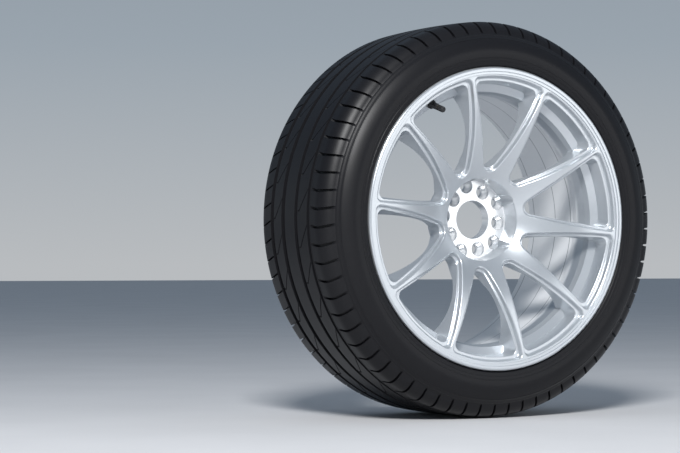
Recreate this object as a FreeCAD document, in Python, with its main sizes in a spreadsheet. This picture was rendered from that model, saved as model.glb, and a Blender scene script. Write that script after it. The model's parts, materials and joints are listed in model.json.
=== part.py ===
import FreeCAD, Part

# A road-car wheel with its tyre and snap-in valve, standing upright.
# The axle runs along Y and the front of the wheel looks towards -Y. The origin is on the axle, at the
# face that bolts against the hub. Profiles are drawn as radius against Y and turned about Y.

import math
import os

import Sketcher

SHEET = "Sizes"

# Driving sizes, in millimetres and degrees. A depth is measured from the front edge of the rim.
SIZES = {
    # Rim
    "rim_width": 222.0,
    "bead_seat_dia": 462.0,
    "flange_height": 17.3,
    "flange_thick": 12.5,
    "wheel_offset": 20.0,
    "flange_edge_round": 4.0,
    "flange_round": 7.0,
    "seat_corner_round": 6.5,
    "seat_width": 18.5,
    "seat_drop": 1.6,
    "hump_rise": 0.8,
    "hump_width": 3.0,
    "well_top_gap": 1.4,
    "well_depth": 18.7,
    "well_width": 27.5,
    "well_round": 5.0,
    "well_rear_run": 22.0,
    "well_rear_rise": 6.7,
    "barrel_rear_drop": 4.5,
    "barrel_rear_run": 7.0,
    "barrel_wall": 5.2,
    "well_wall": 5.0,
    "lip_wall": 19.8,
    "lip_flare": 1.3,
    "lip_length": 18.5,
    "lip_step": 4.0,
    "lip_step_run": 2.5,
    # Stepped front ring
    "face_depth": 4.0,
    "ring_step_depth": 2.0,
    "ring_radius": 235.0,
    "ring_step_in": 236.4,
    "ring_step_out": 240.2,
    "ring_step_draft": 0.8,
    "ring_root": 0.7,
    "ring_core_in": 4.5,
    "ring_core_depth": 0.2,
    "disc_radius": 227.0,
    # Front wall of the drop centre, and the ridge behind it
    "band_radius": 222.2,
    "band_depth": 36.5,
    "band_angle": 24.6,
    "band_inner_radius": 210.2,
    "band_overlap": 2.3,
    "ridge_depth": 52.0,
    "ridge_rear_depth": 76.0,
    # Spokes and windows
    "spoke_count": 10,
    "ledge_depth": 8.0,
    "layer_overlap": 4.0,
    "face_window_offset": 1.2,
    "face_window_draft": 17.0,
    "face_window_radius": 234.4,
    "face_window_corner": 9.5,
    "face_window_end": 27.6,
    "through_window_offset": 14.6,
    "through_window_flare": 2.07,
    "through_window_draft": 8.0,
    "through_window_radius": 227.5,
    "through_window_corner": 10.5,
    "through_window_end": 19.1,
    "spoke_root_depth": 46.5,
    "spoke_root_radius": 200.0,
    "spoke_waist_radius": 110.0,
    "spoke_waist_depth": 56.0,
    "spoke_back_round": 69.0,
    "spoke_edge_round": 2.0,
    "ledge_root_round": 1.6,
    "ledge_edge_round": 1.2,
    # Hub
    "bore_dia": 64.1,
    "pad_thick": 19.6,
    "pad_dia": 128.0,
    "hub_edge_dia": 136.0,
    "hub_edge_depth": 54.3,
    "hub_edge_round": 3.0,
    "hub_back_dia": 152.0,
    "hub_back_draft": 2.0,
    "hub_back_height": 8.0,
    "hub_neck_dia": 172.0,
    "hub_neck_height": 24.0,
    "lug_count": 5,
    "lug_circle_outer": 114.3,
    "lug_circle_inner": 100.0,
    "lug_hole_dia": 14.5,
    "lug_bore_dia": 25.0,
    "lug_bore_depth": 5.0,
    "lug_seat_angle": 30.0,
    # Valve hole
    "valve_radius": 215.5,
    "valve_hole_dia": 11.5,
    "valve_hole_reach": 3.0,
    "cut_margin": 5.0,
    # Snap-in valve. A height is measured along the stem from the front of the drop centre's wall.
    "valve_fit": 0.05,
    "valve_hole_fit": 0.3,
    "stem_radius": 3.85,
    "stem_top": 28.5,
    "stem_foot": -17.0,
    "stem_foot_radius": 5.4,
    "stem_foot_thick": 2.0,
    "stem_air_radius": 1.75,
    "stem_core_radius": 2.65,
    "core_seat_low": 15.0,
    "core_seat_high": 17.0,
    "rubber_collar_radius": 7.6,
    "rubber_collar_height": 3.6,
    "rubber_neck_radius": 5.4,
    "rubber_top_radius": 4.9,
    "rubber_top": 19.4,
    "rubber_bulb_radius": 7.0,
    "rubber_bulb_low": -14.0,
    "rubber_bulb_high": -10.0,
    "rubber_foot_radius": 6.4,
    "rubber_foot": -18.5,
    "core_plug_radius": 2.58,
    "core_plug_low": 23.2,
    "core_top": 27.4,
    "core_neck_radius": 1.9,
    "core_barrel_low": 13.0,
    "core_barrel_radius": 1.65,
    "core_spring_room": 1.3,
    "core_room_low": 13.6,
    "core_room_high": 22.4,
    "core_guide_radius": 0.62,
    "core_air_radius": 0.85,
    "core_seal_radius": 2.5,
    "core_seal_low": 16.9,
    "core_seal_high": 19.2,
    "core_seal_seat_radius": 2.35,
    "pin_radius": 0.5,
    "pin_top": 27.9,
    "pin_low": 10.4,
    "pin_collar_radius": 1.2,
    "pin_collar_low": 21.4,
    "pin_collar_thick": 0.7,
    "cup_radius": 1.45,
    "cup_low": 11.0,
    "cup_floor": 0.6,
    "cup_wall": 0.25,
    "cup_rim_gap": 0.35,
    "spring_wire_radius": 0.14,
    "spring_mean_radius": 0.95,
    "spring_turns": 6.0,
    "cap_radius": 4.9,
    "cap_low": 20.2,
    "cap_top": 31.2,
    "cap_roof": 1.6,
    "cap_bore_gap": 0.12,
    "cap_edge": 0.7,
    "cap_seal_thick": 0.9,
    "cap_seal_inner_radius": 1.5,
    # The wheel's turn about the axle as it stands
    "standing_angle": -30.4,
    # Tyre
    "tyre_dia": 653.2,
    "crown_radius": 2000.0,
    "tread_half_width": 88.0,
    "shoulder_round": 30.0,
    "sidewall_top_half_width": 109.0,
    "sidewall_top_radius": 303.0,
    "section_half_width": 124.4,
    "section_radius": 274.0,
    "upper_sidewall_round": 62.0,
    "lower_sidewall_round": 78.0,
    "protector_half_width": 121.0,
    "protector_radius": 251.5,
    "bead_clearance": 0.35,
    "heel_round": 8.0,
    "bead_width": 17.7,
    "bead_inner_rise": 14.0,
    "bead_inner_run": 3.0,
    "sidewall_wall": 10.4,
    "liner_foot_half_width": 110.0,
    "liner_foot_radius": 260.0,
    "liner_shoulder_half_width": 103.0,
    "liner_shoulder_radius": 299.0,
    "liner_corner_half_width": 84.0,
    "crown_wall": 16.0,
    "liner_corner_drop": 1.2,
    # Circumferential grooves, placed from the middle of the tread, front negative
    "groove_depth": 8.0,
    "groove_draft": 1.2,
    "groove_back_place": 57.0,
    "groove_back_width": 11.0,
    "groove_mid_back_place": 18.5,
    "groove_mid_back_width": 11.5,
    "groove_mid_front_place": -24.0,
    "groove_mid_front_width": 9.5,
    "groove_front_place": -62.0,
    "groove_front_width": 7.0,
}


class Size:
    """A number that remembers the spreadsheet formula it comes from."""

    def __init__(self, value, formula):
        self.value = float(value)
        self.formula = formula

    def __add__(self, other):
        other = as_size(other)
        return Size(self.value + other.value, f"({self.formula} + {other.formula})")

    def __sub__(self, other):
        other = as_size(other)
        return Size(self.value - other.value, f"({self.formula} - {other.formula})")

    def __rsub__(self, other):
        return as_size(other) - self

    def __mul__(self, other):
        other = as_size(other)
        return Size(self.value * other.value, f"({self.formula} * {other.formula})")

    def __truediv__(self, other):
        other = as_size(other)
        return Size(self.value / other.value, f"({self.formula} / {other.formula})")

    def __rtruediv__(self, other):
        return as_size(other) / self

    def __neg__(self):
        return Size(-self.value, f"(0 - {self.formula})")

    __radd__ = __add__
    __rmul__ = __mul__


def as_size(number):
    return number if isinstance(number, Size) else Size(number, repr(float(number)))


def size(name):
    return Size(SIZES[name], f"{SHEET}.{name}")


def tan(angle):
    return Size(math.tan(math.radians(angle.value)), f"tan({angle.formula} * 1 deg)")


def root(number):
    return Size(math.sqrt(number.value), f"sqrt({number.formula})")


def cos(angle):
    return Size(math.cos(math.radians(angle.value)), f"cos({angle.formula} * 1 deg)")


def sin(angle):
    return Size(math.sin(math.radians(angle.value)), f"sin({angle.formula} * 1 deg)")


doc = FreeCAD.newDocument("wheel")
sheet = doc.addObject("Spreadsheet::Sheet", SHEET)
for row, (name, number) in enumerate(SIZES.items(), start=1):
    sheet.set(f"A{row}", name)
    sheet.set(f"B{row}", str(number))
    sheet.setAlias(f"B{row}", name)
doc.recompute()

# Places worked out from the driving sizes
front = size("wheel_offset") - size("rim_width") / 2 - size("flange_thick")
rear = size("wheel_offset") + size("rim_width") / 2 + size("flange_thick")
bead_radius = size("bead_seat_dia") / 2
flange_radius = bead_radius + size("flange_height")
face_y = front + size("face_depth")
hub_edge_y = front + size("hub_edge_depth")
hub_edge_radius = size("hub_edge_dia") / 2
bore_radius = size("bore_dia") / 2
dish_run = size("ring_radius") - hub_edge_radius
dish_drop = size("hub_edge_depth") - size("face_depth")
dish_round = (dish_run * dish_run + dish_drop * dish_drop) / (2 * dish_drop)
half_pitch = 180 / size("spoke_count")
well_radius = bead_radius - size("well_depth")
band_wall = size("well_wall") / cos(size("band_angle"))
ridge_radius = well_radius - band_wall
standing = f"placement(vector(0; 0; 0); rotation(vector(0; 1; 0); {SHEET}.standing_angle))"


def band_y(radius):
    """Y of the drop centre's front wall at a radius."""
    return front + size("band_depth") + (size("band_radius") - radius) * tan(size("band_angle"))


valve_y = band_y(size("valve_radius"))


def dish_y(radius, depth):
    """Y of the surface that lies at a depth behind the spokes' curved fronts, at a radius."""
    run = size("ring_radius") - radius
    deep_round = dish_round - depth
    return face_y + dish_round - root(deep_round * deep_round - run * run)


def plane_of(body, role):
    return next(plane for plane in body.Origin.OriginFeatures if plane.Role == role)


def new_body(label):
    body = doc.addObject("PartDesign::Body", label)
    body.Label = label
    return body


def new_sketch(body, name, role, lift=None):
    """A sketch on one of the body's own planes, lifted along the plane's normal."""
    sketch = body.newObject("Sketcher::SketchObject", name)
    sketch.AttachmentSupport = [(plane_of(body, role), "")]
    sketch.MapMode = "FlatFace"
    if lift is not None:
        sketch.setExpression("AttachmentOffset.Base.z", lift.formula)
    return sketch


def bind(sketch, constraint, amount):
    """Add a dimension to the sketch and tie it to its formula."""
    index = sketch.addConstraint(constraint)
    sketch.setExpression(f"Constraints[{index}]", amount.formula)


def point_of(corner):
    return FreeCAD.Vector(corner[0].value, corner[1].value, 0)


def arc_between(start, end, radius):
    """The shorter arc between two points; a positive radius bulges to the right of the way travelled."""
    chord = end - start
    middle = (start + end) / 2
    height = math.sqrt(max(radius * radius - chord.Length * chord.Length / 4, 0))
    side = FreeCAD.Vector(-chord.y, chord.x, 0).normalize() * math.copysign(height, radius)
    centre = middle + side
    first, last = (start, end) if radius > 0 else (end, start)
    angles = [math.atan2(p.y - centre.y, p.x - centre.x) for p in (first, last)]
    return Part.ArcOfCircle(Part.Circle(centre, FreeCAD.Vector(0, 0, 1), abs(radius)), *angles)


def draw_outline(sketch, corners):
    """Close an outline through its corners, each tied to its formulas.

    A corner is (x, y) or (x, y, radius): with a radius, the stretch to the next corner is an arc.
    """
    corners = [tuple(as_size(part) for part in corner) for corner in corners]
    base = sketch.GeometryCount
    ends = []
    for index, corner in enumerate(corners):
        start = point_of(corner)
        end = point_of(corners[(index + 1) % len(corners)])
        if len(corner) == 3:
            sketch.addGeometry(arc_between(start, end, corner[2].value))
            ends.append((1, 2) if corner[2].value > 0 else (2, 1))
        else:
            sketch.addGeometry(Part.LineSegment(start, end))
            ends.append((1, 2))
    for index in range(len(corners)):
        after = (index + 1) % len(corners)
        sketch.addConstraint(
            Sketcher.Constraint("Coincident", base + index, ends[index][1], base + after, ends[after][0])
        )
    for index, corner in enumerate(corners):
        start = ends[index][0]
        for kind, place in (("DistanceX", corner[0]), ("DistanceY", corner[1])):
            bind(sketch, Sketcher.Constraint(kind, base + index, start, place.value), place)
        if len(corner) == 3:
            radius = corner[2] if corner[2].value > 0 else -corner[2]
            bind(sketch, Sketcher.Constraint("Radius", base + index, radius.value), radius)


def turned(body, name, kind, *outlines, plane="XY_Plane"):
    """Turn outlines about the sketch's upright axis, to add to the body or cut from it.

    On the XY plane an outline is radius against Y, turned about the axle.
    """
    sketch = new_sketch(body, name + "_profile", plane)
    for corners in outlines:
        draw_outline(sketch, corners)
    feature = body.newObject(kind, name)
    feature.Profile = sketch
    feature.ReferenceAxis = (sketch, ["V_Axis"])
    feature.Angle = 360
    feature.Refine = False
    doc.recompute()
    return feature


def repeated(body, name, feature, count_name):
    """Repeat a feature evenly about the axle."""
    pattern = body.newObject("PartDesign::PolarPattern", name)
    if feature is None:
        pattern.TransformMode = "Whole shape"
    else:
        pattern.Originals = [feature]
    pattern.Axis = (plane_of(body, "Y_Axis"), [""])
    pattern.Angle = 360
    pattern.setExpression("Occurrences", f"{SHEET}.{count_name}")
    body.Tip = pattern
    pattern.Refine = False
    doc.recompute()
    return pattern


def draw_window(sketch, side_angle, offset, radius, end):
    """A wedge about the sketch's upright axis.

    Its sides lie at side_angle to that axis and pass the wheel's centre at a distance of offset. Its outer
    edge is an arc about the centre and its inner end is one round.
    """
    angle = math.radians(side_angle.value)
    along = FreeCAD.Vector(math.sin(angle), math.cos(angle), 0)
    inward = FreeCAD.Vector(-math.cos(angle), math.sin(angle), 0)
    end_centre = FreeCAD.Vector(0, (end.value + offset.value) / math.sin(angle), 0)
    reach = math.sqrt(radius.value**2 - offset.value**2)
    side_start = end_centre - inward * end.value
    side_end = along * reach + inward * offset.value
    corner_angle = math.atan2(side_end.y, side_end.x)
    upright = FreeCAD.Vector(0, 0, 1)

    def mirrored(point):
        return FreeCAD.Vector(-point.x, point.y, 0)

    def arc(centre, arc_radius, first, last):
        return Part.ArcOfCircle(Part.Circle(centre, upright, arc_radius), first, last)

    inner_end, side, outer, other_side = range(4)
    sketch.addGeometry(arc(end_centre, end.value, math.pi + angle, 2 * math.pi - angle))
    sketch.addGeometry(Part.LineSegment(side_start, side_end))
    sketch.addGeometry(arc(FreeCAD.Vector(), radius.value, corner_angle, math.pi - corner_angle))
    sketch.addGeometry(Part.LineSegment(mirrored(side_end), mirrored(side_start)))
    sketch.addConstraint(Sketcher.Constraint("Tangent", inner_end, 2, side, 1))
    sketch.addConstraint(Sketcher.Constraint("Coincident", side, 2, outer, 1))
    sketch.addConstraint(Sketcher.Constraint("Coincident", outer, 2, other_side, 1))
    sketch.addConstraint(Sketcher.Constraint("Tangent", other_side, 2, inner_end, 1))
    sketch.addConstraint(Sketcher.Constraint("Coincident", outer, 3, -1, 1))
    sketch.addConstraint(Sketcher.Constraint("PointOnObject", inner_end, 3, -2))
    bind(sketch, Sketcher.Constraint("Radius", inner_end, end.value), end)
    bind(sketch, Sketcher.Constraint("Radius", outer, radius.value), radius)
    bind(sketch, Sketcher.Constraint("Distance", -1, 1, side, offset.value), offset)
    lean = 90 - side_angle
    bind(sketch, Sketcher.Constraint("Angle", side, math.radians(lean.value)), lean)
    bind(sketch, Sketcher.Constraint("Angle", other_side, -math.radians(lean.value)), -lean)


def window(body, name, **shape):
    """Cut one drafted window for each gap between spokes, from the rim's front edge back."""
    draft = shape.pop("draft")
    depth = shape.pop("depth")
    corner = shape.pop("corner")
    tool = new_body(name + "_tool")
    tool.AllowCompound = True
    sketch = new_sketch(tool, name + "_outline", "XZ_Plane", lift=-front)
    draw_window(sketch, **shape)
    block = tool.newObject("PartDesign::Pad", name + "_block")
    block.Profile = sketch
    block.Reversed = True
    block.setExpression("Length", depth.formula)
    doc.recompute()
    walls = []
    for index, face in enumerate(block.Shape.Faces, start=1):
        if near(face.CenterOfMass.y, front.value):
            front_face = f"Face{index}"
        elif not near(face.CenterOfMass.y, (front + depth).value):
            walls.append(f"Face{index}")
    sloped = tool.newObject("PartDesign::Draft", name + "_draft")
    sloped.Base = (block, walls)
    sloped.NeutralPlane = (block, [front_face])
    doc.recompute()
    sloped.setExpression("Angle", draft.formula)
    doc.recompute()
    middle_y = (front + depth / 2).value
    rounded(tool, name + "_corners", corner, lambda r, y: near(y, middle_y, 1) and r > shape["radius"].value * 0.8)
    repeated(tool, name + "_set", None, "spoke_count")
    cut = body.newObject("PartDesign::Boolean", name + "s")
    cut.Type = "Cut"
    cut.setObjects([tool])
    cut.Refine = False
    body.Tip = cut
    doc.recompute()
    return cut


def sharp_edges(shape, chosen):
    """Names of the edges that pass the test at their middle and where two faces meet at an angle."""
    names = []
    for index, edge in enumerate(shape.Edges, start=1):
        if edge.Degenerated:
            continue
        middle = edge.valueAt((edge.FirstParameter + edge.LastParameter) / 2)
        if not chosen(math.hypot(middle.x, middle.z), middle.y):
            continue
        faces = shape.ancestorsOfType(edge, Part.Face)
        if len(faces) != 2:
            continue
        normals = []
        for face in faces:
            along_u, along_v = face.Surface.parameter(middle)
            normals.append(face.normalAt(along_u, along_v))
        if abs(normals[0].dot(normals[1])) < math.cos(math.radians(8)):
            names.append(f"Edge{index}")
    return names


def rounded(body, name, radius, chosen):
    """Round the body's edges that pass the test."""
    base = body.Tip
    edges = sharp_edges(base.Shape, chosen)
    if not edges:
        raise RuntimeError(f"{name}: no edge to round")
    fillet = body.newObject("PartDesign::Fillet", name)
    fillet.Base = (base, edges)
    fillet.Refine = False
    fillet.setExpression("Radius", radius.formula)
    doc.recompute()
    return fillet


def near(value, target, reach=0.05):
    return abs(value - target) < reach


def make_wheel():
    """One casting: the spoked face, the hub and the rim."""
    body = new_body("alloy_wheel")
    ledge = size("ledge_depth")
    core = ledge + size("layer_overlap")
    ring = size("ring_radius")
    ring_out = size("ring_step_in")
    disc = size("disc_radius")

    # Fronts of the spokes, the hub and the ring that the spokes run into, with the wider window openings
    spoke_faces = [
        (bore_radius, hub_edge_y),
        (hub_edge_radius, hub_edge_y, dish_round),
        (ring, face_y),
        (ring_out, face_y),
        (ring_out, face_y + ledge),
        (bead_radius, face_y + ledge),
        (disc, dish_y(disc, core), -(dish_round - core)),
        (hub_edge_radius, dish_y(hub_edge_radius, core)),
        (bore_radius, dish_y(hub_edge_radius, core)),
    ]
    turned(body, "spoke_faces", "PartDesign::Revolution", spoke_faces)
    window(
        body,
        "face_window",
        side_angle=half_pitch,
        offset=size("face_window_offset"),
        radius=size("face_window_radius"),
        corner=size("face_window_corner"),
        end=size("face_window_end"),
        draft=size("face_window_draft"),
        depth=size("hub_edge_depth") + core + size("cut_margin"),
    )

    # Backs of the spokes, whose fronts leave a ledge inside each opening
    half_wall = band_wall / 2
    hub_back_radius = size("hub_back_dia") / 2
    spoke_backs = [
        (bore_radius, dish_y(hub_edge_radius, ledge)),
        (hub_edge_radius, dish_y(hub_edge_radius, ledge), dish_round - ledge),
        (ring, face_y + ledge),
        (disc, face_y + ledge + size("ring_root")),
        (disc, band_y(disc) + half_wall),
        (size("band_inner_radius"), band_y(size("band_inner_radius")) + half_wall),
        (ridge_radius + size("ring_root"), front + size("ridge_depth")),
        (size("spoke_root_radius"), front + size("spoke_root_depth"), -size("spoke_back_round")),
        (size("spoke_waist_radius"), front + size("spoke_waist_depth")),
        (size("hub_neck_dia") / 2, -size("hub_neck_height")),
        (hub_back_radius + size("hub_back_draft"), -size("hub_back_height")),
        (hub_back_radius, 0),
        (bore_radius, 0),
    ]
    turned(body, "spoke_backs", "PartDesign::Revolution", spoke_backs)
    # Hub: the round recess in front and the two circles of bolt holes
    pad_y = -size("pad_thick")
    pad_radius = size("pad_dia") / 2
    cut_front = hub_edge_y - size("cut_margin")
    slope = (hub_edge_radius - pad_radius) / (hub_edge_y - pad_y)
    recess = [
        (0, pad_y),
        (pad_radius, pad_y),
        (hub_edge_radius - slope * size("cut_margin"), cut_front),
        (0, cut_front),
    ]
    turned(body, "hub_recess", "PartDesign::Groove", recess)
    for name, circle, turn in (
        ("outer_lug_hole", "lug_circle_outer", half_pitch),
        ("inner_lug_hole", "lug_circle_inner", -half_pitch),
    ):
        hole = lug_hole(body, name, size(circle) / 2, turn, pad_y, cut_front)
        repeated(body, name + "s", hole, "lug_count")

    # Soft edges of the spokes, then the windows right through
    rounded(
        body,
        "recess_edge",
        size("hub_edge_round"),
        lambda r, y: near(r, hub_edge_radius.value) and near(y, hub_edge_y.value),
    )
    beyond_recess = hub_edge_radius.value + SIZES["hub_edge_round"]
    rounded(body, "spoke_edges", size("spoke_edge_round"), lambda r, y: on_dish(r, y, 0) and r > beyond_recess)
    rounded(body, "ledge_roots", size("ledge_root_round"), lambda r, y: on_dish(r, y, ledge.value))
    window(
        body,
        "through_window",
        side_angle=half_pitch + size("through_window_flare"),
        offset=size("through_window_offset"),
        radius=size("through_window_radius"),
        corner=size("through_window_corner"),
        end=size("through_window_end"),
        draft=size("through_window_draft"),
        depth=-front,
    )

    rounded(body, "ledge_edges", size("ledge_edge_round"), lambda r, y: on_dish(r, y, ledge.value))
    # The rim: stepped front ring, bead seats, drop centre, barrel and flanges
    seat_front = front + size("flange_thick")
    seat_rear = rear - size("flange_thick")
    seat_end = bead_radius - size("seat_drop")
    hump = bead_radius - size("hump_rise")
    hump_reach = size("seat_width") + size("hump_width")
    well_top = seat_end - size("well_top_gap")
    well_front = band_y(well_radius) + band_wall
    well_rear = well_front + size("well_width")
    barrel_front = well_rear + size("well_rear_run")
    barrel_front_radius = well_radius + size("well_rear_rise")
    barrel_rear = seat_rear - hump_reach - size("barrel_rear_run")
    barrel_rear_radius = bead_radius - size("barrel_rear_drop")
    lip_radius = flange_radius - size("lip_wall")
    lip_end = rear - size("lip_length")
    band_out = size("band_radius") + size("band_overlap")
    rim = [
        (ring + size("ring_root"), face_y + size("ring_root")),
        (ring_out, front + size("ring_step_depth")),
        (size("ring_step_out"), front + size("ring_step_depth")),
        (size("ring_step_out") + size("ring_step_draft"), front),
        (flange_radius, front),
        (flange_radius, seat_front),
        (bead_radius, seat_front),
        (seat_end, seat_front + size("seat_width")),
        (hump, seat_front + hump_reach),
        (well_top, band_y(well_top) + band_wall),
        (well_radius, well_front),
        (well_radius, well_rear),
        (barrel_front_radius, barrel_front),
        (barrel_rear_radius, barrel_rear),
        (hump, seat_rear - hump_reach),
        (seat_end, seat_rear - size("seat_width")),
        (bead_radius, seat_rear),
        (flange_radius, seat_rear),
        (flange_radius, rear),
        (lip_radius, rear),
        (lip_radius - size("lip_flare"), lip_end),
        (lip_radius - size("lip_flare") - size("lip_step"), lip_end - size("lip_step_run")),
        (barrel_rear_radius - size("barrel_wall"), barrel_rear),
        (barrel_front_radius - size("barrel_wall"), barrel_front),
        (ridge_radius, front + size("ridge_rear_depth")),
        (ridge_radius, front + size("ridge_depth")),
        (size("band_inner_radius"), band_y(size("band_inner_radius"))),
        (band_out, band_y(band_out)),
        (disc, face_y + ledge + size("ring_core_depth")),
        (ring - size("ring_core_in"), face_y + ledge + size("ring_core_depth")),
    ]
    turned(body, "rim", "PartDesign::Revolution", rim)

    valve_hole(body)

    for name, radius, places in (
        ("flange_edges", "flange_edge_round", ((flange_radius, front), (flange_radius, rear))),
        ("flange_backs", "flange_round", ((flange_radius, seat_front), (flange_radius, seat_rear))),
        ("seat_corners", "seat_corner_round", ((bead_radius, seat_front), (bead_radius, seat_rear))),
        ("well_corner", "well_round", ((well_radius, well_rear),)),
    ):
        spots = [(r.value, y.value) for r, y in places]
        rounded(body, name, size(radius), lambda r, y: any(near(r, a) and near(y, b) for a, b in spots))
    return body


def on_dish(radius, y, depth):
    """Whether a point lies on the surface at a depth behind the spokes' fronts."""
    run = SIZES["ring_radius"] - radius
    if run < 0 or run > dish_run.value:
        return False
    deep_round = dish_round.value - depth
    return near(y, face_y.value + dish_round.value - math.sqrt(deep_round * deep_round - run * run))


def bored(body, name, axis, outline, turn=None):
    """Cut a round hole: an outline of Y against height, turned about an axis line in its own plane."""
    sketch = new_sketch(body, name + "_profile", "YZ_Plane")
    if turn is not None:
        about_axle = FreeCAD.Rotation(FreeCAD.Vector(1, 0, 0), turn.value)
        sketch.AttachmentOffset = FreeCAD.Placement(FreeCAD.Vector(), about_axle)
        sketch.setExpression("AttachmentOffset.Rotation.Angle", turn.formula)
    start, end = axis
    sketch.addGeometry(Part.LineSegment(point_of(start), point_of(end)), True)
    for position, place in ((1, start), (2, end)):
        bind(sketch, Sketcher.Constraint("DistanceX", 0, position, place[0].value), place[0])
        bind(sketch, Sketcher.Constraint("DistanceY", 0, position, place[1].value), place[1])
    draw_outline(sketch, outline)
    hole = body.newObject("PartDesign::Groove", name)
    hole.Profile = sketch
    hole.ReferenceAxis = (sketch, ["Axis0"])
    hole.Angle = 360
    hole.Refine = False
    doc.recompute()
    return hole


def lug_hole(body, name, circle_radius, turn, pad_y, cut_front):
    """A bolt hole: a wide bore for the nut, its cone seat and the clearance hole for the stud."""
    nut = circle_radius + size("lug_bore_dia") / 2
    stud = circle_radius + size("lug_hole_dia") / 2
    seat_y = pad_y + size("lug_bore_depth")
    seat_end = seat_y + (nut - stud) / tan(size("lug_seat_angle"))
    cut_back = size("cut_margin")
    outline = [
        (cut_front, circle_radius),
        (cut_front, nut),
        (seat_y, nut),
        (seat_end, stud),
        (cut_back, stud),
        (cut_back, circle_radius),
    ]
    return bored(body, name, ((cut_front, circle_radius), (cut_back, circle_radius)), outline, turn)


def valve_hole(body):
    """The valve's hole, square through the drop centre's front wall."""
    radius = size("valve_hole_dia") / 2
    lean = size("band_angle")
    reach = size("valve_hole_reach")

    def place(along, across):
        y = valve_y + along * cos(lean) - across * sin(lean)
        return (y, size("valve_radius") + along * sin(lean) + across * cos(lean))

    through = size("well_wall") + reach
    axis = (place(-reach, as_size(0)), place(through, as_size(0)))
    outline = [axis[0], place(-reach, radius), place(through, radius), axis[1]]
    bored(body, "valve_hole", axis, outline)


def make_tyre():
    """One moulded and cured piece, open at its beads, with grooves round the tread."""
    body = new_body("tyre")
    middle = size("wheel_offset")
    gap = size("bead_clearance")
    crown = size("tyre_dia") / 2
    bead_wall = size("rim_width") / 2 - gap
    flange_centre = size("rim_width") / 2 + size("flange_round")
    flange_centre_radius = flange_radius - size("flange_round")
    flange_arc = size("flange_round") + gap
    toe = bead_wall - size("bead_width")
    seat_slope = size("seat_drop") / size("seat_width")
    heel = bead_wall - size("heel_round")

    def tread_radius(place):
        return crown - place * place / (2 * size("crown_radius"))

    def seat_radius(place):
        return bead_radius + gap - (size("rim_width") / 2 - place) * seat_slope

    # Half of the section, from the tread's edge down to the bead and up the inside
    half = [
        (tread_radius(size("tread_half_width")), size("tread_half_width"), size("shoulder_round")),
        (size("sidewall_top_radius"), size("sidewall_top_half_width"), size("upper_sidewall_round")),
        (size("section_radius"), size("section_half_width"), size("lower_sidewall_round")),
        (size("protector_radius"), size("protector_half_width")),
        (flange_centre_radius + flange_arc, flange_centre, -flange_arc),
        (flange_centre_radius, bead_wall),
        (seat_radius(bead_wall) + size("heel_round"), bead_wall, size("heel_round")),
        (seat_radius(heel), heel),
        (seat_radius(toe), toe),
        (seat_radius(toe) + size("bead_inner_rise"), toe + size("bead_inner_run")),
        (size("liner_foot_radius"), size("liner_foot_half_width")),
        (size("section_radius"), size("section_half_width") - size("sidewall_wall")),
        (size("liner_shoulder_radius"), size("liner_shoulder_half_width")),
        (crown - size("crown_wall") - size("liner_corner_drop"), size("liner_corner_half_width")),
    ]
    back = [(corner[0], middle + corner[1], *corner[2:]) for corner in half]
    front_half = mirrored_half(half, middle)
    turned(body, "carcass", "PartDesign::Revolution", back + front_half)

    grooves = []
    for name in ("groove_back", "groove_mid_back", "groove_mid_front", "groove_front"):
        centre = size(name + "_place")
        half_width = size(name + "_width") / 2
        top = tread_radius(centre) + size("cut_margin")
        floor = tread_radius(centre) - size("groove_depth")
        draft = size("groove_draft")
        grooves.append(
            [
                (top, middle + centre - half_width),
                (top, middle + centre + half_width),
                (floor, middle + centre + half_width - draft),
                (floor, middle + centre - half_width + draft),
            ]
        )
    turned(body, "tread_grooves", "PartDesign::Groove", *grooves)
    return body


def mirrored_half(half, middle):
    """The other half of a section, run backwards, so that each arc's radius belongs to its new start.

    Its last corner starts the arc over the crown.
    """
    turned_back = []
    for index in range(len(half) - 1, -1, -1):
        radius = half[index - 1][2:] if index > 0 else (size("crown_radius"),)
        turned_back.append((half[index][0], middle - half[index][1], *radius))
    return turned_back


def valve_piece(label, *corners):
    """A round piece of the valve, drawn as radius against height along the stem."""
    body = new_body(label)
    turned(body, label + "_turned", "PartDesign::Revolution", corners, plane="XZ_Plane")
    return body


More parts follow.
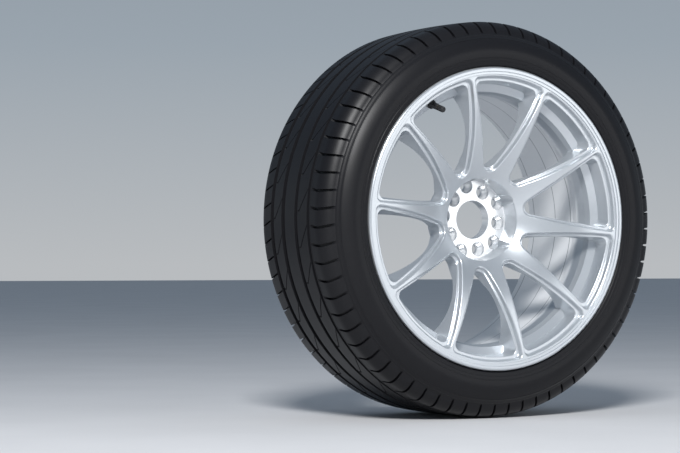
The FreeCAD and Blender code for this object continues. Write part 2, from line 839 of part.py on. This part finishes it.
def make_valve():
    """The snap-in valve: rubber body, stem, core with its sprung pin, and the screwed cap."""
    fit = size("valve_fit")
    hole_fit = size("valve_hole_fit")
    hole = size("valve_hole_dia") / 2 - hole_fit
    wall = size("well_wall")
    stem = size("stem_radius")
    moulded = stem + fit
    foot = size("stem_foot")
    foot_radius = size("stem_foot_radius")
    foot_top = foot + size("stem_foot_thick")
    rubber = valve_piece(
        "valve_rubber_body",
        (moulded, size("rubber_top")),
        (moulded, foot_top + fit),
        (foot_radius + fit, foot_top + fit),
        (foot_radius + fit, size("rubber_foot")),
        (size("rubber_foot_radius"), size("rubber_foot")),
        (size("rubber_bulb_radius"), size("rubber_bulb_low")),
        (size("rubber_bulb_radius"), size("rubber_bulb_high")),
        (hole, -wall - hole_fit),
        (hole, hole_fit),
        (size("rubber_collar_radius"), hole_fit),
        (size("rubber_collar_radius"), size("rubber_collar_height")),
        (size("rubber_neck_radius"), size("rubber_collar_height") * 2),
        (size("rubber_top_radius"), size("rubber_top")),
    )

    air = size("stem_air_radius")
    bore = size("stem_core_radius")
    tube = valve_piece(
        "valve_stem_tube",
        (air, foot),
        (foot_radius, foot),
        (foot_radius, foot_top),
        (stem, foot_top),
        (stem, size("stem_top")),
        (bore, size("stem_top")),
        (bore, size("core_seat_high")),
        (air, size("core_seat_low")),
    )

    room = size("core_spring_room")
    guide = size("core_guide_radius")
    passage = size("core_air_radius")
    barrel = size("core_barrel_radius")
    seal_low = size("core_seal_low")
    seal_high = size("core_seal_high")
    housing = valve_piece(
        "valve_core_housing",
        (passage, size("core_barrel_low")),
        (barrel, size("core_barrel_low")),
        (barrel, seal_high),
        (size("core_neck_radius"), seal_high),
        (size("core_neck_radius"), size("core_plug_low")),
        (size("core_plug_radius"), size("core_plug_low")),
        (size("core_plug_radius"), size("core_top")),
        (guide, size("core_top")),
        (guide, size("core_room_high")),
        (room, size("core_room_high")),
        (room, size("core_room_low")),
        (passage, size("core_room_low")),
    )
    seal = valve_piece(
        "valve_core_seal",
        (barrel + fit, seal_low),
        (size("core_seal_seat_radius"), seal_low),
        (size("core_seal_radius"), seal_high - fit),
        (barrel + fit, seal_high - fit),
    )

    pin_radius = size("pin_radius")
    collar_low = size("pin_collar_low")
    collar_top = collar_low + size("pin_collar_thick")
    cup_inner = size("cup_radius") - size("cup_wall")
    cup_floor = size("cup_low") + size("cup_floor")
    cup_rim = size("core_barrel_low") - size("cup_rim_gap")
    pin = valve_piece(
        "valve_core_pin",
        (0, size("pin_low")),
        (pin_radius, size("pin_low")),
        (pin_radius, size("cup_low")),
        (size("cup_radius"), size("cup_low")),
        (size("cup_radius"), cup_rim),
        (cup_inner, cup_rim),
        (cup_inner, cup_floor),
        (pin_radius, cup_floor),
        (pin_radius, collar_low),
        (size("pin_collar_radius"), collar_low),
        (size("pin_collar_radius"), collar_top),
        (pin_radius, collar_top),
        (pin_radius, size("pin_top")),
        (0, size("pin_top")),
    )
    gasket = valve_piece(
        "valve_core_gasket",
        (pin_radius + fit, cup_floor + fit),
        (cup_inner - fit, cup_floor + fit),
        (cup_inner - fit, size("core_barrel_low") - fit),
        (pin_radius + fit, size("core_barrel_low") - fit),
    )
    spring = make_spring(collar_low)

    cap_bore = stem + size("cap_bore_gap")
    cap_roof = size("cap_top") - size("cap_roof")
    cap = valve_piece(
        "valve_cap",
        (cap_bore, size("cap_low")),
        (size("cap_radius"), size("cap_low")),
        (size("cap_radius"), size("cap_top") - size("cap_edge")),
        (size("cap_radius") - size("cap_edge"), size("cap_top")),
        (0, size("cap_top")),
        (0, cap_roof),
        (cap_bore, cap_roof),
    )
    cap_seal = valve_piece(
        "valve_cap_seal",
        (size("cap_seal_inner_radius"), cap_roof - size("cap_seal_thick")),
        (cap_bore - fit, cap_roof - size("cap_seal_thick")),
        (cap_bore - fit, cap_roof - fit),
        (size("cap_seal_inner_radius"), cap_roof - fit),
    )
    return [rubber, tube, housing, seal, pin, gasket, spring, cap, cap_seal]


def make_spring(top):
    """The coil that holds the pin's cup against the foot of the core."""
    body = new_body("valve_core_spring")
    wire = size("spring_wire_radius")
    low = size("core_room_low") + wire + size("valve_fit")
    rise = top - wire - size("valve_fit") - low
    sketch = new_sketch(body, "spring_wire", "XZ_Plane")
    centre = FreeCAD.Vector(SIZES["spring_mean_radius"], low.value, 0)
    sketch.addGeometry(Part.Circle(centre, FreeCAD.Vector(0, 0, 1), wire.value))
    bind(sketch, Sketcher.Constraint("DistanceX", 0, 3, centre.x), size("spring_mean_radius"))
    bind(sketch, Sketcher.Constraint("DistanceY", 0, 3, centre.y), low)
    bind(sketch, Sketcher.Constraint("Radius", 0, wire.value), wire)
    coil = body.newObject("PartDesign::AdditiveHelix", "spring_coil")
    coil.Profile = sketch
    coil.ReferenceAxis = (sketch, ["V_Axis"])
    coil.Mode = "height-turns-growth"
    coil.setExpression("Height", rise.formula)
    coil.setExpression("Turns", size("spring_turns").formula)
    doc.recompute()
    return body


def finish(bodies):
    """Stand the pieces up, check every object and write one file for each piece."""
    doc.recompute()
    for thing in doc.Objects:
        if "Invalid" in thing.State or "Error" in thing.State:
            raise RuntimeError(f"{thing.Label} failed: {thing.State}")
    os.makedirs("parts", exist_ok=True)
    for body in bodies:
        shape = body.Shape
        if shape.isNull() or not shape.isValid():
            raise RuntimeError(f"{body.Label} has no valid shape")
        print(body.Label, len(shape.Solids), "solid", round(shape.Volume / 1000, 2), "cm3")
        shape.exportStep(f"parts/{body.Label}.step")


wheel = make_wheel()
tyre = make_tyre()
for piece in (wheel, tyre):
    piece.setExpression("Placement", standing)
valve_pieces = make_valve()
valve_place = (
    f"{standing} * placement(vector(0; {valve_y.formula}; {size('valve_radius').formula}); "
    f"rotation(vector(1; 0; 0); 90 + {SHEET}.band_angle))"
)
for piece in valve_pieces:
    piece.setExpression("Placement", valve_place)
finish([tyre, wheel] + valve_pieces)
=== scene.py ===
import json
import math

import bmesh
import bpy
import numpy as np
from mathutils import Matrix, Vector


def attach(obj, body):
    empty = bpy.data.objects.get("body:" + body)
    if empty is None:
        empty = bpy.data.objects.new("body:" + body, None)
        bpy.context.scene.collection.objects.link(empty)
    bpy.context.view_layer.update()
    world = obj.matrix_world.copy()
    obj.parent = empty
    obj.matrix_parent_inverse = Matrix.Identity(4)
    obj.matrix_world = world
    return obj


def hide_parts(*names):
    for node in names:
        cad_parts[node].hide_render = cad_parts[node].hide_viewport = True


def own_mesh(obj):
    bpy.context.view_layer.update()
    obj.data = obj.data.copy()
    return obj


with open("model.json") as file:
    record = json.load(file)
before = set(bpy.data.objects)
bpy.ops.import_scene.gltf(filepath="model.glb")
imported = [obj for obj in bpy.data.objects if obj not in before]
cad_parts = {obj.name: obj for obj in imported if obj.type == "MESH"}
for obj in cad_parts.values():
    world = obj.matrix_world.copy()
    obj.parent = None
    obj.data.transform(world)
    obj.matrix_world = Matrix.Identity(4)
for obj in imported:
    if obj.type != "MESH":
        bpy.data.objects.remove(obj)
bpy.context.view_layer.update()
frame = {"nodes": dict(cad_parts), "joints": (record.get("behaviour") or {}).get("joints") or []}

MM = 0.001

# Tyre section, in millimetres: distance from the tread's middle, front negative, then radius from the axle
TYRE_MIDDLE = 20.0
TYRE_RADIUS = 326.45
CROWN_RADIUS = 2000.0
TREAD_EDGE = 88.0
SHOULDER = (109.0, 303.0)
WIDEST = (124.4, 274.0)
PROTECTOR = (121.0, 251.5)
FLANGE_RADIUS = 248.3
FLANGE_ROUND = 7.0
RIM_HALF_WIDTH = 111.0
BEAD_GAP = 0.35
BEAD_WALL_END = 239.0
# The bead's heel: distance in from the bead's wall, then radius
HEEL = ((2.3, 233.5), (8.0, 230.7))
BEAD_TOE = (92.95, 229.8)
# How many of the section's points, from the liner out, lie on the bead
BEAD_POINTS = 6
LINER = ((95.95, 243.8), (110.0, 260.0), (114.0, 274.0), (103.0, 299.0), (84.0, 309.4))
SHOULDER_ROUND = 30.0
UPPER_ROUND = 62.0
LOWER_ROUND = 78.0
# Fine raised rings on the sidewall: radius and height of each, then how far its top and its foot reach
SIDEWALL_RINGS = ((301.0, 0.35), (295.5, 0.5), (263.0, 0.5), (257.0, 0.4))
RING_TOP = 0.5
RING_FOOT = 0.9
RING_CLEAR = 1.2

# Tread pattern: grooves round the tyre, then slots across it in fractions of one pitch
GROOVE_DEPTH = 8.0
GROOVE_DRAFT = 1.2
GROOVES = ((-62.0, 7.0), (-24.0, 9.5), (18.5, 11.5), (57.0, 11.0))
# The hairline beside the front shoulder: place, width, depth and draft
HAIRLINE = (-67.6, 1.0, 0.9, 0.2)
STATION_GAP = 6.0
RIB_EDGE = 2.0
PITCHES = 70
PITCH_LINES = (0.0, 0.21, 0.425, 0.445, 0.466, 0.534, 0.555, 0.575, 0.79)
WIDE_SLOT = (0.425, 0.575, 0.02)
MIDDLE_SLOT = (0.445, 0.555, 0.021)
SLOT_DEPTH = 5.5
DIAGONAL_DEPTH = 5.5
SLOT_END_RADIUS = 303.5
SLOT_FADE = 6.0
# How far the pattern runs round the tyre for each millimetre across it, in pitches
DIAGONAL_RIBS = ((-58.0, -29.0), (25.0, 51.0))
DIAGONAL_LEAN = -0.05
CENTRE_RIB = (-19.0, 12.5)
CENTRE_LEAN = -0.05
SHOULDER_ARCH = 0.0006
BACK_LEAN = -0.012

# The photograph's camera
IMAGE_WIDTH = 680.0
FOCAL_PIXELS = 2213.3
SENSOR_WIDTH = 36.0
CAMERA_PLACE = (-2.0201, -3.1039, -0.0757)
CAMERA_PITCH = 1.0
CAMERA_YAW = -29.8

# Valve, in millimetres along its stem from the rim's wall
VALVE_BASE = (-109.05, -63.93, 185.87)
STEM_RADIUS = 3.85
STEM_AIR_RADIUS = 1.75
STEM_CORE_RADIUS = 2.65
STEM_FOOT = (5.4, -17.0, -15.0)
STEM_TOP = 28.5
CORE_SEAT = (15.0, 17.0)
THREAD_START = 20.0
THREAD_PITCH = 0.8
THREAD_DEPTH = 0.4
THREAD_STEPS = 4
CAP_RADIUS = 4.9
CAP_BORE = 3.97
CAP_SPAN = (20.2, 31.2)
CAP_ROOF = 1.6
CAP_RIBS = 24
CAP_RIB_DEPTH = 0.3

# Zones of the wheel's finish, in millimetres
PAD_RADIUS = 65.0
PAD_FRONT = -21.0
BARREL_FRONT = -30.0
BARREL_RADIUS = 150.0
# Dark lines painted round the barrel as shade in its creases: where they lie along the axle, then their half
# width and soft edge
BARREL_SHADE_RINGS = (0.0, 50.0, 121.0)
BARREL_SHADE_HALF_WIDTH = 0.9
BARREL_SHADE_EDGE = 0.6

PAINT_DARK = (0.55, 0.58, 0.61)
PAINT_LIGHT = (0.63, 0.66, 0.69)
BARREL_COLOUR = (0.88, 0.89, 0.90)
PAINT_METALLIC = 0.7
BARREL_METALLIC = 0.15
PAINT_ROUGHNESS = 0.28
BARREL_ROUGHNESS = 0.40
PAD_ROUGHNESS = 0.22
PAD_COLOUR = (0.86, 0.87, 0.88)
# Colour of the painted shade rings in the barrel
BARREL_SHADE_COLOUR = (0.30, 0.31, 0.33)

FLOOR_SIZE = 60
FLOOR_GAP = 0.5

# Studio light: sky colours by height of the view direction, and the lamps
WORLD_STRENGTH = 0.62
SKY = (
    (0.0, (0.78, 0.81, 0.84)),
    (0.10, (0.52, 0.60, 0.68)),
    (0.40, (0.16, 0.22, 0.30)),
    (1.0, (0.42, 0.50, 0.60)),
)
KEY_LIGHT = ((-2.2, -3.2, 2.6), 1.0, 260)
FILL_LIGHT = ((2.4, -3.6, 0.9), 2.6, 28)


def arc_points(start, end, radius, count):
    """Points on the shorter arc from start to end, without its end; a positive radius bulges outwards."""
    start = np.array(start, float)
    end = np.array(end, float)
    chord = end - start
    length = np.hypot(*chord)
    height = math.sqrt(radius * radius - length * length / 4)
    side = np.array([-chord[1], chord[0]]) / length * math.copysign(height, -radius)
    centre = (start + end) / 2 + side
    first = math.atan2(*(start - centre)[::-1])
    sweep = math.atan2(*(end - centre)[::-1]) - first
    sweep = (sweep + math.pi) % (2 * math.pi) - math.pi
    angles = first + sweep * np.arange(count) / count
    return [tuple(centre + abs(radius) * np.array([math.cos(a), math.sin(a)])) for a in angles]


def crown(place):
    return TYRE_RADIUS - place * place / (2 * CROWN_RADIUS)


def half_section():
    """From the tread's edge down the sidewall, round the bead and up the inside."""
    flange = FLANGE_ROUND + BEAD_GAP
    seat_wall = RIM_HALF_WIDTH - BEAD_GAP
    points = arc_points((TREAD_EDGE, crown(TREAD_EDGE)), SHOULDER, SHOULDER_ROUND, 8)
    points += arc_points(SHOULDER, WIDEST, UPPER_ROUND, 7)
    points += arc_points(WIDEST, PROTECTOR, LOWER_ROUND, 6)
    points = with_rings(points)
    points += [PROTECTOR]
    flange_top = (RIM_HALF_WIDTH + FLANGE_ROUND, FLANGE_RADIUS + BEAD_GAP)
    points += arc_points(flange_top, (seat_wall, FLANGE_RADIUS - FLANGE_ROUND), -flange, 3)
    points += [(seat_wall, FLANGE_RADIUS - FLANGE_ROUND), (seat_wall, BEAD_WALL_END)]
    points += [(seat_wall - inwards, radius) for inwards, radius in HEEL]
    return points + [BEAD_TOE, *LINER]


def with_rings(points):
    """The sidewall's points with each fine ring set in as a small raised step."""
    run = np.array(points)
    for radius, height in SIDEWALL_RINGS:
        spots = radius + np.array([RING_FOOT, RING_TOP, -RING_TOP, -RING_FOOT])
        wide = np.interp(-spots, -run[:, 1], run[:, 0])
        ring = np.stack([wide + height * np.array([0, 1, 1, 0]), spots], axis=1)
        kept = run[np.abs(run[:, 1] - radius) > RING_CLEAR]
        run = np.concatenate([kept, ring])
        run = run[np.argsort(-run[:, 1], kind="stable")]
    return [tuple(point) for point in run]


def tread_stations():
    """Places across the tread from front to back, each with the groove depth there."""
    places = []
    edge = -TREAD_EDGE
    cuts = [HAIRLINE]
    cuts += [(centre, width, GROOVE_DEPTH, GROOVE_DRAFT) for centre, width in GROOVES]
    for centre, width, deep, draft in sorted(cuts):
        low = centre - width / 2
        high = centre + width / 2
        steps = max(int(round((low - edge) / STATION_GAP)), 1)
        places += [(w, 0.0) for w in np.linspace(edge, low, steps + 1)]
        places += [(low + draft, deep), (high - draft, deep)]
        edge = high
    steps = int(round((TREAD_EDGE - edge) / STATION_GAP))
    places += [(w, 0.0) for w in np.linspace(edge, TREAD_EDGE, steps + 1)]
    return places[1:-1]


def slot_profile(phase, slot):
    """1 on a slot's floor, 0 on the blocks beside it."""
    low, high, draft = slot
    return np.clip(np.minimum(phase - low, high - phase) / draft, 0, 1)


def between(values, limits):
    return (values > limits[0]) & (values < limits[1])


def slot_depths(w, r, tread, local, parity):
    """How deep the slots across the tread are at each station and column."""
    depth = np.zeros((len(w), len(local)))
    wide = slot_profile(local, WIDE_SLOT)
    middle = slot_profile(local, MIDDLE_SLOT)
    for i in np.flatnonzero(tread):
        fade = np.clip((r[i] - SLOT_END_RADIUS) / SLOT_FADE, 0, 1)
        if w[i] < HAIRLINE[0] - RIB_EDGE:
            depth[i] = SLOT_DEPTH * fade * wide
        elif w[i] > GROOVES[-1][0] + GROOVES[-1][1] / 2 + RIB_EDGE:
            depth[i] = SLOT_DEPTH * fade * middle
        elif any(between(w[i], rib) for rib in DIAGONAL_RIBS):
            depth[i] = DIAGONAL_DEPTH * middle * (parity == 0)
    return depth


def build_tyre():
    """The tyre's surface as one grid: stations round its section, columns round the axle."""
    side = half_section()
    outline = [(-w, r, 0.0) for w, r in reversed(side)]
    outline += [(w, crown(w) - deep, deep) for w, deep in tread_stations()]
    outline += [(w, r, 0.0) for w, r in side]
    w, r, grooved = (np.array(column) for column in zip(*outline))
    count = len(w)
    across = np.gradient(w)
    up = np.gradient(r)
    length = np.hypot(across, up)
    order = np.arange(count)
    outside = len(LINER) + BEAD_POINTS
    tread = (order > outside) & (order < count - outside) & (r > SLOT_END_RADIUS) & (grooved == 0)

    local = np.tile(PITCH_LINES, PITCHES)
    parity = np.repeat(np.arange(PITCHES) % 2, len(PITCH_LINES))
    columns = np.repeat(np.arange(PITCHES), len(PITCH_LINES)) + local
    lean = np.zeros(count)
    for rib in DIAGONAL_RIBS:
        lean[between(w, rib)] = DIAGONAL_LEAN
    lean[between(w, CENTRE_RIB)] = CENTRE_LEAN
    shoulder = w < HAIRLINE[0]
    lean[shoulder] = SHOULDER_ARCH * (w[shoulder] + TREAD_EDGE)
    lean[w > GROOVES[-1][0]] = BACK_LEAN
    lean[~between(order, (outside, count - outside))] = 0
    shift = np.cumsum(lean * np.abs(across))

    depth = slot_depths(w, r, tread, local, parity)
    angle = 2 * math.pi * (columns[None, :] + shift[:, None]) / PITCHES
    place_w = w[:, None] + depth * (up / length)[:, None]
    place_r = r[:, None] - depth * (across / length)[:, None]
    points = np.stack([place_r * np.sin(angle), TYRE_MIDDLE + place_w, place_r * np.cos(angle)], axis=-1)

    i, j = np.meshgrid(order, np.arange(len(columns)), indexing="ij")
    row = len(columns)
    after_i = (i + 1) % count
    after_j = (j + 1) % row
    quads = np.stack([i * row + j, i * row + after_j, after_i * row + after_j, after_i * row + j], axis=-1)
    return points.reshape(-1, 3) * MM, quads.reshape(-1, 4)


def mesh_object(name, vertices, faces, smooth_angle=30.0):
    mesh = bpy.data.meshes.new(name)
    mesh.from_pydata(vertices.tolist(), [], faces.tolist())
    mesh.validate()
    mesh.shade_smooth()
    mesh.set_sharp_from_angle(angle=math.radians(smooth_angle))
    obj = bpy.data.objects.new(name, mesh)
    bpy.context.scene.collection.objects.link(obj)
    return obj


def stem_direction():
    """The valve's stem, as a unit vector towards its cap."""
    cap_joint = next(joint for joint in frame["joints"] if joint["name"] == "cap_off")
    along = np.array(cap_joint["axis"], float)
    return along / np.linalg.norm(along)


def lathe(name, outline, columns, relief=None):
    """A closed outline of radius against height, turned about the valve's stem.

    relief gives, for each angle in turns and each outline point, how far the surface is cut in.
    """
    radius, height = (np.array(values)[:, None] for values in zip(*outline))
    turn = np.arange(columns)[None, :] / columns
    if relief is not None:
        radius = radius - relief(turn, radius, height)
    angle = 2 * math.pi * turn
    local = np.stack([radius * np.cos(angle), radius * np.sin(angle), height + 0 * angle], axis=-1)
    local = local.reshape(-1, 3)
    along = stem_direction()
    sideways = np.cross(along, (0, 0, 1))
    sideways /= np.linalg.norm(sideways)
    turned_axes = np.stack([sideways, np.cross(along, sideways), along])
    points = (local @ turned_axes + np.array(VALVE_BASE)) * MM
    i, j = np.meshgrid(np.arange(len(outline)), np.arange(columns), indexing="ij")
    after_i = (i + 1) % len(outline)
    after_j = (j + 1) % columns
    quads = np.stack([i, i, after_i, after_i], axis=-1) * columns
    quads += np.stack([j, after_j, after_j, j], axis=-1)
    obj = mesh_object(name, points, quads.reshape(-1, 4))
    clean = bmesh.new()
    clean.from_mesh(obj.data)
    bmesh.ops.remove_doubles(clean, verts=clean.verts, dist=1e-7)
    bmesh.ops.dissolve_degenerate(clean, edges=clean.edges, dist=1e-7)
    bmesh.ops.recalc_face_normals(clean, faces=clean.faces)
    clean.to_mesh(obj.data)
    clean.free()
    return obj


def build_stem():
    """The brass tube with its screw thread at the top."""
    foot_radius, foot, foot_top = STEM_FOOT
    outline = [(STEM_AIR_RADIUS, foot), (foot_radius, foot), (foot_radius, foot_top), (STEM_RADIUS, foot_top)]
    step = THREAD_PITCH / THREAD_STEPS
    heights = np.arange(THREAD_START, STEM_TOP - step, step)
    outline += [(STEM_RADIUS, height) for height in heights]
    outline += [(STEM_RADIUS - THREAD_DEPTH, STEM_TOP), (STEM_CORE_RADIUS, STEM_TOP)]
    outline += [(STEM_CORE_RADIUS, CORE_SEAT[1]), (STEM_AIR_RADIUS, CORE_SEAT[0])]

    def thread(turn, radius, height):
        threaded = (radius == STEM_RADIUS) & (height > THREAD_START)
        return threaded * THREAD_DEPTH * np.abs(2 * ((height / THREAD_PITCH - turn) % 1) - 1)

    return lathe("threaded_stem", outline, 48, thread)


def build_cap():
    """The cap, with grip ribs round its side."""
    low, high = CAP_SPAN
    edge = CAP_RADIUS - 0.7
    outline = [(CAP_BORE, low), (CAP_RADIUS - CAP_RIB_DEPTH, low), (CAP_RADIUS, low + 0.6)]
    outline += [(CAP_RADIUS, high - 1.6), (CAP_RADIUS - CAP_RIB_DEPTH, high - 1.0), (edge, high)]
    outline += [(0, high), (0, high - CAP_ROOF), (CAP_BORE, high - CAP_ROOF)]

    def ribs(turn, radius, height):
        return (radius == CAP_RADIUS) * CAP_RIB_DEPTH * (turn * CAP_RIBS % 1 >= 0.5)

    return lathe("ribbed_cap", outline, CAP_RIBS * 4, ribs)


class Nodes:
    """A material's node tree, with short ways to add and join nodes."""

    def __init__(self, name):
        self.material = bpy.data.materials.new(name)
        self.material.use_nodes = True
        self.tree = self.material.node_tree
        self.shader = self.tree.nodes["Principled BSDF"]

    def add(self, kind, **settings):
        node = self.tree.nodes.new(kind)
        for key, value in settings.items():
            setattr(node, key, value)
        return node

    def link(self, source, target):
        self.tree.links.new(source, target)

    def noise(self, scale, detail=4.0):
        place = self.add("ShaderNodeTexCoord")
        noise = self.add("ShaderNodeTexNoise")
        noise.inputs["Scale"].default_value = scale
        noise.inputs["Detail"].default_value = detail
        self.link(place.outputs["Object"], noise.inputs["Vector"])
        return noise.outputs["Fac"]

    def ramp(self, factor, low, high, start=0.3, end=0.7):
        ramp = self.add("ShaderNodeValToRGB")
        ramp.color_ramp.elements[0].position = start
        ramp.color_ramp.elements[0].color = low
        ramp.color_ramp.elements[1].position = end
        ramp.color_ramp.elements[1].color = high
        self.link(factor, ramp.inputs["Fac"])
        return ramp.outputs["Color"]

    def math(self, operation, first, second=None):
        node = self.add("ShaderNodeMath", operation=operation)
        for socket, value in zip(node.inputs, (first, second)):
            if isinstance(value, (int, float)):
                socket.default_value = value
            elif value is not None:
                self.link(value, socket)
        return node.outputs["Value"]

    def step(self, value, edge, soft):
        """0 before the edge and 1 after it, in millimetres; a negative softness turns it round."""
        node = self.add("ShaderNodeMapRange")
        self.link(value, node.inputs["Value"])
        node.inputs["From Min"].default_value = (edge - soft) * MM
        node.inputs["From Max"].default_value = (edge + soft) * MM
        return node.outputs["Result"]

    def mix(self, first, colour, factor):
        node = self.add("ShaderNodeMix", data_type="RGBA")
        self.link(factor, node.inputs["Factor"])
        self.link(first, node.inputs[6])
        node.inputs[7].default_value = (*colour, 1)
        return node.outputs[2]

    def bump(self, height, strength, distance):
        bump = self.add("ShaderNodeBump")
        bump.inputs["Strength"].default_value = strength
        bump.inputs["Distance"].default_value = distance
        self.link(height, bump.inputs["Height"])
        self.link(bump.outputs["Normal"], self.shader.inputs["Normal"])


def plain(name, low, high, scale, roughness, metallic=0.0, bump=0.0):
    """A material whose colour drifts between two close tones."""
    nodes = Nodes(name)
    noise = nodes.noise(scale)
    nodes.link(nodes.ramp(noise, (*low, 1), (*high, 1)), nodes.shader.inputs["Base Color"])
    nodes.shader.inputs["Roughness"].default_value = roughness
    nodes.shader.inputs["Metallic"].default_value = metallic
    if bump:
        nodes.bump(noise, bump, 0.0003)
    return nodes


def wheel_finish():
    """Silver paint, with the bright machined pad at the hub, the plainer barrel inside, and dark rings
    painted round the barrel as shade in its creases.
    """
    nodes = plain("silver_paint", PAINT_DARK, PAINT_LIGHT, 2500.0, PAINT_ROUGHNESS)
    shader = nodes.shader
    shader.inputs["Coat Weight"].default_value = 0.4
    shader.inputs["Coat Roughness"].default_value = 0.08
    place = nodes.add("ShaderNodeTexCoord")
    parts = nodes.add("ShaderNodeSeparateXYZ")
    nodes.link(place.outputs["Object"], parts.inputs["Vector"])
    flat = nodes.add("ShaderNodeCombineXYZ")
    nodes.link(parts.outputs["X"], flat.inputs["X"])
    nodes.link(parts.outputs["Z"], flat.inputs["Z"])
    length = nodes.add("ShaderNodeVectorMath", operation="LENGTH")
    nodes.link(flat.outputs["Vector"], length.inputs[0])
    radius = length.outputs["Value"]
    depth = parts.outputs["Y"]

    pad = nodes.math("MULTIPLY", nodes.step(radius, PAD_RADIUS, -0.5), nodes.step(depth, PAD_FRONT, 0.5))
    barrel = nodes.math("MULTIPLY", nodes.step(radius, BARREL_RADIUS, 5), nodes.step(depth, BARREL_FRONT, 5))
    paint_colour = shader.inputs["Base Color"].links[0].from_socket
    colour = nodes.mix(nodes.mix(paint_colour, BARREL_COLOUR, barrel), PAD_COLOUR, pad)
    shade_lines = None
    # Painted shade: dark rings round the barrel stand in for the shade in its creases
    for ring in BARREL_SHADE_RINGS:
        away = nodes.math("ABSOLUTE", nodes.math("SUBTRACT", depth, ring * MM))
        shade_line = nodes.step(away, BARREL_SHADE_HALF_WIDTH, -BARREL_SHADE_EDGE)
        shade_lines = shade_line if shade_lines is None else nodes.math("MAXIMUM", shade_lines, shade_line)
    shade_lines = nodes.math("MULTIPLY", shade_lines, barrel)
    colour = nodes.mix(colour, BARREL_SHADE_COLOUR, shade_lines)
    nodes.link(colour, shader.inputs["Base Color"])
    plainer = nodes.math("MULTIPLY", barrel, PAINT_METALLIC - BARREL_METALLIC)
    nodes.link(nodes.math("SUBTRACT", PAINT_METALLIC, plainer), shader.inputs["Metallic"])
    rougher = nodes.math("MULTIPLY", barrel, BARREL_ROUGHNESS - PAINT_ROUGHNESS)
    smoother = nodes.math("MULTIPLY", pad, PAINT_ROUGHNESS - PAD_ROUGHNESS)
    rough = nodes.math("SUBTRACT", nodes.math("ADD", rougher, PAINT_ROUGHNESS), smoother)
    nodes.link(rough, shader.inputs["Roughness"])
    return nodes


def paint(obj, material):
    obj.data.materials.clear()
    obj.data.materials.append(material)


def add_floor():
    bpy.ops.mesh.primitive_plane_add(size=FLOOR_SIZE, location=(0, 0, -(TYRE_RADIUS + FLOOR_GAP) * MM))
    floor = bpy.context.object
    floor.name = "floor"
    paint(floor, plain("floor_paint", (0.62, 0.62, 0.63), (0.66, 0.66, 0.67), 3.0, 0.8).material)


def add_area_light(name, place, size, power):
    data = bpy.data.lights.new(name, "AREA")
    data.size = size
    data.energy = power
    lamp = bpy.data.objects.new(name, data)
    lamp.location = place
    lamp.rotation_euler = (-Vector(place)).to_track_quat("-Z", "Y").to_euler()
    bpy.context.scene.collection.objects.link(lamp)


def add_world():
    """A plain sky, pale at the horizon and at its darkest part of the way up."""
    world = bpy.data.worlds.new("studio")
    bpy.context.scene.world = world
    world.use_nodes = True
    tree = world.node_tree
    background = tree.nodes["Background"]
    background.inputs["Strength"].default_value = WORLD_STRENGTH
    place = tree.nodes.new("ShaderNodeTexCoord")
    parts = tree.nodes.new("ShaderNodeSeparateXYZ")
    ramp = tree.nodes.new("ShaderNodeValToRGB")
    tree.links.new(place.outputs["Generated"], parts.inputs["Vector"])
    tree.links.new(parts.outputs["Z"], ramp.inputs["Fac"])
    tree.links.new(ramp.outputs["Color"], background.inputs["Color"])
    for position, _ in SKY[:-2]:
        ramp.color_ramp.elements.new(position)
    for element, (position, colour) in zip(ramp.color_ramp.elements, SKY):
        element.position = position
        element.color = (*colour, 1)


def add_camera():
    data = bpy.data.cameras.new("camera")
    data.sensor_width = SENSOR_WIDTH
    data.lens = FOCAL_PIXELS / IMAGE_WIDTH * SENSOR_WIDTH
    data.clip_end = 100
    camera = bpy.data.objects.new("camera", data)
    camera.location = CAMERA_PLACE
    camera.rotation_euler = (math.radians(90 + CAMERA_PITCH), 0, math.radians(CAMERA_YAW))
    bpy.context.scene.collection.objects.link(camera)
    bpy.context.scene.camera = camera


rubber = plain("tyre_rubber", (0.004, 0.004, 0.005), (0.009, 0.009, 0.011), 900.0, 0.4, bump=0.15)
rubber.shader.inputs["Specular IOR Level"].default_value = 0.24
silver = wheel_finish()
valve_rubber = plain("valve_rubber", (0.010, 0.010, 0.011), (0.02, 0.02, 0.021), 1500.0, 0.5, bump=0.1)
brass = plain("brass", (0.62, 0.46, 0.18), (0.72, 0.56, 0.25), 800.0, 0.3, metallic=1.0)
steel = plain("spring_steel", (0.5, 0.5, 0.52), (0.62, 0.62, 0.64), 1500.0, 0.3, metallic=1.0)
seal_rubber = plain("seal_rubber", (0.12, 0.02, 0.02), (0.16, 0.03, 0.03), 1500.0, 0.6)
cap_plastic = plain("cap_plastic", (0.012, 0.012, 0.013), (0.022, 0.022, 0.023), 1200.0, 0.45)

tyre = mesh_object("tyre_moulding", *build_tyre())
paint(tyre, rubber.material)
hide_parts("tyre")
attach(tyre, "wheel")

for piece, node, material, slot, body in (
    (build_stem(), "valve_stem_tube", brass, "brass", "wheel"),
    (build_cap(), "valve_cap", cap_plastic, "cap_plastic", "cap"),
):
    paint(piece, material.material)
    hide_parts(node)
    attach(piece, body)

for node, material in (
    ("alloy_wheel", silver),
    ("valve_rubber_body", valve_rubber),
    ("valve_core_housing", brass),
    ("valve_core_pin", brass),
    ("valve_core_spring", steel),
    ("valve_core_seal", seal_rubber),
    ("valve_core_gasket", seal_rubber),
    ("valve_cap_seal", seal_rubber),
):
    paint(frame["nodes"][node], material.material)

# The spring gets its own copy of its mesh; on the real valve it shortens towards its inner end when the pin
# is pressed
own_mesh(frame["nodes"]["valve_core_spring"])

add_floor()
add_world()
add_area_light("key", *KEY_LIGHT)
add_area_light("fill", *FILL_LIGHT)
add_camera()
bpy.context.scene.view_settings.view_transform = "Standard"
